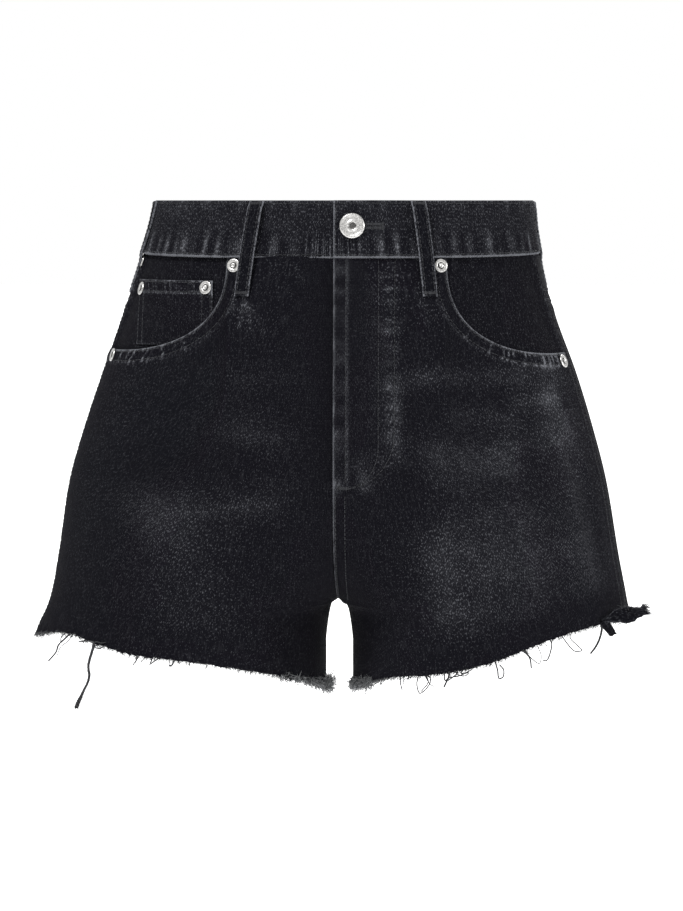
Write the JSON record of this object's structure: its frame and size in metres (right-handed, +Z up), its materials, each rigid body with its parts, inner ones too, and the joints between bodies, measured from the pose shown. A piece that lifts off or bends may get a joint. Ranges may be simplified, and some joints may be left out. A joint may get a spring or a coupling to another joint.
{
  "type": "pair of denim shorts",
  "caption": "High-waisted washed-black denim shorts with a button fly, scooped front pockets, a coin pocket, belt loops and cut-off frayed hems, hollow as when worn.",
  "frame": {"origin": "middle of the waist opening, level with the waistband's top edge", "axes": "+X towards the wearer's left, +Y towards the back, +Z up; x = 0 is the plane of the centre seams"},
  "size_m": [0.4348, 0.2388, 0.3578],
  "materials": {
    "denim": "washed-black twill, faded on the high folds and abraded grey at the seams",
    "denim_waistband": "washed-black twill, double, with its lower edge worn grey",
    "denim_edge": "washed-black twill worn lighter along its folded edges",
    "fray": "loose cotton yarns, grey and black",
    "bag_cotton": "plain dyed cotton pocketing",
    "metal": "antiqued nickel, darker in its hollows"
  },
  "bodies": {
    "root": {"front_right": "denim", "front_left": "denim", "back_right": "denim", "back_left": "denim", "yoke_right": "denim", "yoke_left": "denim", "pocket_facing_right": "denim", "pocket_facing_left": "denim", "back_pocket_right": "denim", "back_pocket_left": "denim", "fly_shield": "denim", "coin_pocket": "denim", "waistband": "denim_waistband", "belt_loop_front_right": "denim_edge", "belt_loop_front_left": "denim_edge", "belt_loop_side_right": "denim_edge", "belt_loop_side_left": "denim_edge", "belt_loop_back": "denim_edge", "seam_end_left": "denim_edge", "hem_fray_right": "fray", "hem_fray_left": "fray", "pocket_bag_right": "bag_cotton", "pocket_bag_left": "bag_cotton", "waist_button": "metal", "rivet_pocket_right_top": "metal", "rivet_pocket_right_side": "metal", "rivet_pocket_left_top": "metal", "rivet_pocket_left_side": "metal", "rivet_coin_inner": "metal", "rivet_coin_outer": "metal", "rivet_side_right": "metal"}
  },
  "joints": []
}
